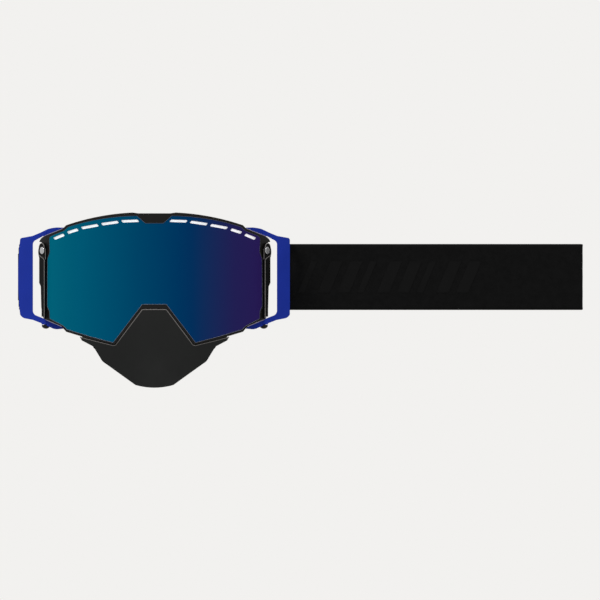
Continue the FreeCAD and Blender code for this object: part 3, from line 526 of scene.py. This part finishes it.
def make_lever_highlight_lines():
    """Thin raised beads round each lever's head, across its collar and down its inner edge, in a
    pale grey that paints the edge highlights.
    """
    for side, sign in (("left", -1), ("right", 1)):
        for name, (radius, line) in LEVER_LINES.items():
            dense = densify([(along * MM, up * MM) for along, up in line], LINE_STEP)
            points = [on_lens_side(sign, radius, along, LEVER_HEIGHT + up) for along, up in dense]
            bead(f"lever_{name}_line_{side}", points, LINE_RADIUS, MATERIALS["lever_line"],
                 f"lever_{side}")


FRAME_RADIUS = 100.5 * MM
FRAME_LINES = {
    "shoulder": [(83.6, 30.0), (82.7, 30.7), (75.8, 33.4), (68.9, 36.1)],
    "cheek": [(82.2, -31.9), (76.0, -34.5), (69.6, -37.2)],
}


def make_frame_highlight_lines():
    """A thin bead on the bezel's edge where an outrigger's arm passes behind it, in a pale grey
    that paints the edge highlight.
    """
    for side, sign in (("left", -1), ("right", 1)):
        for name, line in FRAME_LINES.items():
            points = []
            for x, z in densify([(x * MM, z * MM) for x, z in line], LINE_STEP):
                points.append((sign * x, LENS_AXIS_Y - math.sqrt(FRAME_RADIUS ** 2 - x ** 2), z))
            bead(f"frame_{name}_line_{side}", points, LINE_RADIUS, MATERIALS["shoulder_line"],
                 "frame")


LENS_RADIUS = 100.0 * MM
LENS_BROW_RADIUS = 180.0 * MM
LENS_LINE_RADIUS = 0.00016
LENS_CROWN = [(6.75, 40.2), (13.0, 45.7)]
LENS_SIDE = [(64.7, 37.5), (68.1, 34.5), (77.1, 31.0), (78.6, 30.2), (79.1, 28.6),
             (78.7, 18.5), (80.4, 13.7), (80.6, -22.0), (78.9, -25.7), (78.7, -31.3),
             (68.4, -36.6), (65.6, -39.4), (48.4, -44.6), (30.8, -49.2), (9.0, -20.6)]


def bowed(first, second, radius, count=40):
    """Points on the arc of that radius from first to second; it bulges to the left of the way."""
    first, second = Vector(first), Vector(second)
    half = (second - first).length / 2
    along = (second - first).normalized()
    across = Vector((-along.y, along.x))
    centre = (first + second) / 2 - across * math.sqrt(radius ** 2 - half ** 2)
    start = math.degrees(math.atan2(first.y - centre.y, first.x - centre.x))
    end = math.degrees(math.atan2(second.y - centre.y, second.x - centre.x))
    return turn(centre, radius, start, end, count)


def make_lens_edge_highlight():
    """A thin bead all round the coated lens, in a grey that paints the highlight along its edge."""
    crown = [(x * MM, z * MM) for x, z in LENS_CROWN]
    side = [(x * MM, z * MM) for x, z in LENS_SIDE]
    half = crown[:1] + bowed(crown[1], side[0], LENS_BROW_RADIUS) + side[1:]
    line = half + [(-x, z) for x, z in half[::-1]] + half[:1]
    points = []
    for x, z in densify(line, LINE_STEP):
        points.append((x, LENS_AXIS_Y - math.sqrt(LENS_RADIUS ** 2 - x ** 2), z))
    bead("lens_edge_line", points, LENS_LINE_RADIUS, MATERIALS["lens_edge"], "lens_unit")


def straight(start, end, step=0.0015):
    """Points from the start almost to the end; the end is left for the next stretch."""
    start, end = Vector(start), Vector(end)
    count = max(2, int((end - start).length / step))
    return [tuple(start.lerp(end, k / count)) for k in range(count)]


def turn(centre, radius, first, last, count=20):
    """Points round an arc from the first angle to the last, in degrees."""
    angles = [math.radians(first + (last - first) * k / count) for k in range(count + 1)]
    return [(centre[0] + radius * math.cos(a), centre[1] + radius * math.sin(a)) for a in angles]


def middle(node):
    """The middle of a CAD node's box."""
    low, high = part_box(node)
    return [(low[k] + high[k]) / 2 for k in range(3)]


STITCH_LENGTH = 0.0026
STITCH_PITCH = 0.0034
THREAD_DEPTH = 0.00022
THREAD_HEIGHT = 0.0003
THREAD_LIFT = 0.00005


def stitches(name, rows, body, face, along_x=True):
    """Rows of thread on a face, (start, end, height) each; every stitch is a short bead."""
    form = bmesh.new()
    for start, end, up in rows:
        count = int((end - start) / STITCH_PITCH)
        for index in range(count):
            at = start + (index + 0.5) * (end - start) / count
            if along_x:
                centre = (at, face, up)
                size = (STITCH_LENGTH / 2, THREAD_DEPTH, THREAD_HEIGHT, 1)
            else:
                centre = (face, at, up)
                size = (THREAD_DEPTH, STITCH_LENGTH / 2, THREAD_HEIGHT, 1)
            bmesh.ops.create_icosphere(form, subdivisions=2, radius=1.0,
                                       matrix=Matrix.Translation(centre) @ Matrix.Diagonal(size))
    mesh = bpy.data.meshes.new(name)
    form.to_mesh(mesh)
    form.free()
    piece = new_piece(name, mesh, MATERIALS["stitching"])
    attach(piece, body)


STRAP_SHEET = 1.7 * MM
STRAP_FOLD_RADIUS = 2.4 * MM
STRAP_TAIL = (107 * MM, 124.5 * MM)
STRAP_TAIL_STITCHES = (104 * MM, 122 * MM)
STRAP_HEM_STITCHES = (291 * MM, 303 * MM)
STRAP_HEM_START = 193 * MM
STITCH_MARGIN = 3 * MM
STITCH_ROWS = 11


def stitch_heights(height):
    """The heights of the stitch rows across a strap."""
    edge = height / 2 - STITCH_MARGIN
    return [-edge + 2 * edge * k / (STITCH_ROWS - 1) for k in range(STITCH_ROWS)]


def make_long_strap():
    """Loop on the right strap pin, straight run, fold and hem; then its stitching and its print."""
    low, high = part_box("strap_long")
    pin = middle("strap_pin_right")
    height = high[2] - low[2]
    run_y = low[1] + STRAP_SHEET / 2
    loop = pin[1] - run_y
    fold_x = high[0] - STRAP_SHEET / 2 - STRAP_FOLD_RADIUS
    hem_y = run_y + 2 * STRAP_FOLD_RADIUS
    tail_y = run_y + STRAP_SHEET
    tail_start, tail_end = STRAP_TAIL
    path = straight((tail_end, tail_y), (tail_start, tail_y))
    path += straight((tail_start, tail_y), (pin[0] + 2.5 * MM, pin[1] + loop * 0.93), 0.0007)
    path += turn((pin[0], pin[1]), loop, 66, 270, 26)
    path += straight((pin[0] + 0.3 * MM, run_y), (fold_x, run_y))
    path += turn((fold_x, run_y + STRAP_FOLD_RADIUS), STRAP_FOLD_RADIUS, -90, 90, 18)
    path += straight((fold_x, hem_y), (low[0] + STRAP_HEM_START, hem_y))
    strap = swept("strap_webbing", path, height, STRAP_SHEET, MATERIALS["strap"])
    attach(strap, "long_strap")
    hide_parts("strap_long")
    heights = stitch_heights(height)
    tail_rows = [(*STRAP_TAIL_STITCHES, up) for up in heights]
    stitches("strap_tail_stitches", tail_rows, "long_strap", tail_y + STRAP_SHEET / 2 + THREAD_LIFT)
    hem_rows = [(*STRAP_HEM_STITCHES, up) for up in heights[1:-1]]
    hem_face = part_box("adjuster_webbing")[1][1]
    stitches("strap_hem_stitches", hem_rows, "long_strap", hem_face + THREAD_LIFT)
    make_print(low[1], height)


PRINT_BARS = 9
PRINT_START = 112 * MM
PRINT_END = 246 * MM
PRINT_HALF_HEIGHT = 0.24
PRINT_LEAN = 5 * MM
PRINT_WIDE_BAR = 0.62
PRINT_NARROW_BAR = 0.34
PRINT_RISE = 0.00022
PRINT_SINK = 0.0003
PRINT_ROUND = 0.0001


def make_print(face_y, height):
    """A tone-on-tone pattern of slanted bars on the strap's front; every third bar is narrow."""
    form = bmesh.new()
    pitch = (PRINT_END - PRINT_START) / PRINT_BARS
    tall = height * PRINT_HALF_HEIGHT
    for index in range(PRINT_BARS):
        left = PRINT_START + index * pitch
        wide = pitch * (PRINT_WIDE_BAR if index % 3 else PRINT_NARROW_BAR)
        corners = [(left - PRINT_LEAN, -tall), (left - PRINT_LEAN + wide, -tall),
                   (left + PRINT_LEAN + wide, tall), (left + PRINT_LEAN, tall)]
        front = [form.verts.new((x, face_y - PRINT_RISE, z)) for x, z in corners]
        back = [form.verts.new((x, face_y + PRINT_SINK, z)) for x, z in corners]
        form.faces.new(front)
        form.faces.new(back[::-1])
        for k in range(4):
            form.faces.new((front[k], back[k], back[(k + 1) % 4], front[(k + 1) % 4]))
    bmesh.ops.recalc_face_normals(form, faces=form.faces)
    bmesh.ops.bevel(form, geom=form.edges[:], offset=PRINT_ROUND, segments=2, affect="EDGES")
    mesh = bpy.data.meshes.new("strap_print")
    form.to_mesh(mesh)
    form.free()
    piece = new_piece("strap_print", mesh, MATERIALS["print"], smooth=False)
    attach(piece, "long_strap")


def make_adjuster():
    """The narrow webbing that carries the slider and the buckle plug."""
    low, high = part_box("adjuster_webbing")
    sheet = high[1] - low[1]
    y = (low[1] + high[1]) / 2
    path = straight((low[0], y), (high[0], y))
    webbing = swept("adjuster_band", path, high[2] - low[2], sheet, MATERIALS["adjuster_webbing"],
                    rows=20)
    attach(webbing, "long_strap")
    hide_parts("adjuster_webbing")


STUB_LOOP_RADIUS = 2.85 * MM
STUB_JOIN = 7 * MM
STUB_STITCHES = (9 * MM, 20 * MM)


def make_short_strap():
    """Loop on the left strap pin; both ends run back together into the buckle socket."""
    low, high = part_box("strap_short")
    pin_x, pin_y = middle("strap_pin_left")[:2]
    end_y = high[1]
    join_y = pin_y + STUB_JOIN
    inner_x = pin_x + STRAP_SHEET / 2
    outer_x = pin_x - STRAP_SHEET / 2
    bulge = STUB_LOOP_RADIUS * 0.93
    path = straight((inner_x, end_y), (inner_x, join_y))
    path += straight((inner_x, join_y), (pin_x + bulge, pin_y + 1.2 * MM), 0.0006)
    path += turn((pin_x, pin_y), STUB_LOOP_RADIUS, 22, -202, 28)
    path += straight((pin_x - bulge, pin_y + 1.3 * MM), (outer_x, join_y), 0.0006)
    path += straight((outer_x, join_y), (outer_x, end_y))
    strap = swept("stub_webbing", path, high[2] - low[2], STRAP_SHEET, MATERIALS["strap"])
    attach(strap, "short_strap")
    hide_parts("strap_short")
    first, last = STUB_STITCHES
    rows = [(pin_y + first, pin_y + last, up) for up in stitch_heights(high[2] - low[2])]
    for side, sign in (("in", 1), ("out", -1)):
        stitches(f"stub_stitches_{side}", rows, "short_strap",
                 pin_x + sign * (STRAP_SHEET + THREAD_LIFT), along_x=False)


RIB_COUNT = 5
RIB_PITCH = 2.5
RIB_RADIUS = 0.5 * MM
RIB_MARGIN = 5 * MM
PLUG_RIB_START = 3
SOCKET_RIB_START = 6


def make_buckle_ribs():
    """Raised finger ribs on the plug's plate and on both faces of the socket."""
    plug_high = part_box("buckle_plug")[1]
    socket_low, socket_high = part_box("buckle_socket")
    reach = plug_high[2] - RIB_MARGIN
    for index in range(RIB_COUNT):
        x = plug_high[0] - (PLUG_RIB_START + RIB_PITCH * index) * MM
        bead(f"plug_rib_{index}", [(x, plug_high[1], -reach), (x, plug_high[1], reach)], RIB_RADIUS,
             MATERIALS["buckle"], "long_strap")
        y = socket_low[1] + (SOCKET_RIB_START + RIB_PITCH * index) * MM
        for face, x in (("in", socket_high[0]), ("out", socket_low[0])):
            bead(f"socket_rib_{face}_{index}", [(x, y, -reach), (x, y, reach)], RIB_RADIUS,
                 MATERIALS["buckle"], "short_strap")


# ---------------------------------------------------------------- the object

BEVELS = {
    "frame": 0.00035,
    "face_flange": 0.0003,
    "outer_lens": 0.00015,
    "inner_lens": 0.0,
    "lens_spacer": 0.0,
    "lens_gasket": 0.0,
    "vent_filter_left": 0.0,
    "vent_filter_right": 0.0,
    "vent_foam_top": 0.0,
    "vent_foam_bottom_left": 0.0,
    "vent_foam_bottom_right": 0.0,
    "nose_guard": 0.0006,
    "outrigger_left": 0.0007,
    "outrigger_right": 0.0007,
    "lens_lever_left": 0.0005,
    "lens_lever_right": 0.0005,
    "buckle_plug": 0.0007,
    "buckle_socket": 0.0008,
    "strap_slider": 0.0006,
    "strap_grip_lines": 0.00015,
    "hinge_pins_left": 0.0011,
    "hinge_pins_right": 0.0011,
    "lever_pin_left": 0.0006,
    "lever_pin_right": 0.0006,
    "guard_studs": 0.0002,
    "strap_pin_left": 0.0003,
    "strap_pin_right": 0.0003,
}
for cad_node, bevel_width in BEVELS.items():
    finish_node(cad_node, bevel_width)

soft_copy("foam_base", "frame", voxel=0.0011, relax=3, swell=0.0001, unevenness=0.00006)
soft_copy("foam_middle", "frame", voxel=0.0013, relax=5, swell=0.0003, unevenness=0.00015)
soft_copy("foam_fleece", "frame", voxel=0.0011, relax=6, swell=0.0003, unevenness=0.00018)
make_long_strap()
make_adjuster()
make_short_strap()
make_guard_edge_highlight()
make_lever_highlight_lines()
make_frame_highlight_lines()
make_lens_edge_highlight()
make_buckle_ribs()

# ---------------------------------------------------------------- stage, light and camera

BACKDROP = srgb(242, 241, 239)
VIEW_WIDTH = 0.450
VIEW_MIDDLE = Vector((0.1089, 0.0, -0.0173))
DISTANCE = 15.0
SENSOR = 36.0
FAR_LIMIT = 100.0
FLOOR_RADIUS = 4.0
FLOOR_HEIGHT = -0.6
LIGHT_FROM_BELOW = 0.46
LIGHT_FROM_ABOVE = 0.84


def make_stage():
    """A pale, evenly lit floor well below the goggles; the world beyond it has the same colour."""
    mesh = bpy.data.meshes.new("floor")
    form = bmesh.new()
    bmesh.ops.create_circle(form, cap_ends=True, segments=96, radius=FLOOR_RADIUS)
    form.to_mesh(mesh)
    form.free()
    nodes = Nodes("floor_paper")
    nodes.tint(BACKDROP, 0.004, 3.0)
    nodes.set(Roughness=1.0, Specular_IOR_Level=0.0)
    glow = nodes.add("ShaderNodeEmission", Color=BACKDROP, Strength=1.0)
    nodes.join(glow.outputs[0], nodes.tree.nodes["Material Output"].inputs["Surface"])
    floor = new_piece("floor", mesh, nodes.material)
    floor.location.z = FLOOR_HEIGHT
    floor.visible_diffuse = False
    floor.visible_glossy = False


def make_world():
    """The backdrop's colour for the camera; for all else, light that grows from below to above."""
    world = bpy.data.worlds.new("studio")
    bpy.context.scene.world = world
    world.use_nodes = True
    tree = world.node_tree
    fill = tree.nodes["Background"]
    place = tree.nodes.new("ShaderNodeTexCoord")
    split = tree.nodes.new("ShaderNodeSeparateXYZ")
    ramp = tree.nodes.new("ShaderNodeMapRange")
    ramp.inputs["From Min"].default_value = -1.0
    ramp.inputs["From Max"].default_value = 1.0
    ramp.inputs["To Min"].default_value = LIGHT_FROM_BELOW
    ramp.inputs["To Max"].default_value = LIGHT_FROM_ABOVE
    tree.links.new(place.outputs["Generated"], split.inputs["Vector"])
    tree.links.new(split.outputs["Z"], ramp.inputs["Value"])
    tree.links.new(ramp.outputs["Result"], fill.inputs["Strength"])
    fill.inputs["Color"].default_value = (1.0, 1.0, 1.0, 1.0)
    seen = tree.nodes.new("ShaderNodeBackground")
    seen.inputs["Color"].default_value = BACKDROP
    path = tree.nodes.new("ShaderNodeLightPath")
    mix = tree.nodes.new("ShaderNodeMixShader")
    tree.links.new(path.outputs["Is Camera Ray"], mix.inputs["Fac"])
    tree.links.new(fill.outputs[0], mix.inputs[1])
    tree.links.new(seen.outputs[0], mix.inputs[2])
    tree.links.new(mix.outputs[0], tree.nodes["World Output"].inputs["Surface"])


LIGHT_TARGET = Vector((0.05, 0.0, 0.0))


def make_light(name, place, size, power):
    """A round area light that faces the goggles."""
    data = bpy.data.lights.new(name, "AREA")
    data.shape = "DISK"
    data.size = size
    data.energy = power
    light = bpy.data.objects.new(name, data)
    light.location = place
    light.rotation_mode = "QUATERNION"
    light.rotation_quaternion = (LIGHT_TARGET - Vector(place)).to_track_quat("-Z", "Y")
    bpy.context.scene.collection.objects.link(light)


def make_camera():
    """A level camera straight in front, far away so that near parts aren't enlarged."""
    data = bpy.data.cameras.new("camera")
    data.sensor_width = SENSOR
    data.lens = SENSOR * DISTANCE / VIEW_WIDTH
    data.clip_end = FAR_LIMIT
    camera = bpy.data.objects.new("camera", data)
    camera.location = VIEW_MIDDLE + Vector((0, -DISTANCE, 0))
    camera.rotation_euler = (math.radians(90), 0, 0)
    bpy.context.scene.collection.objects.link(camera)
    bpy.context.scene.camera = camera


make_stage()
make_world()
make_light("key", (-1.4, -1.3, 2.1), size=0.8, power=43.0)
make_light("fill", (1.3, -1.0, 2.0), size=1.0, power=20.0)
make_light("rim", (0.4, 1.6, 1.6), size=0.9, power=24.0)
make_light("low", (0.05, -0.52, -0.52), size=0.5, power=0.6)
make_camera()
bpy.context.scene.view_settings.view_transform = "Standard"
bpy.context.scene.view_settings.look = "None"
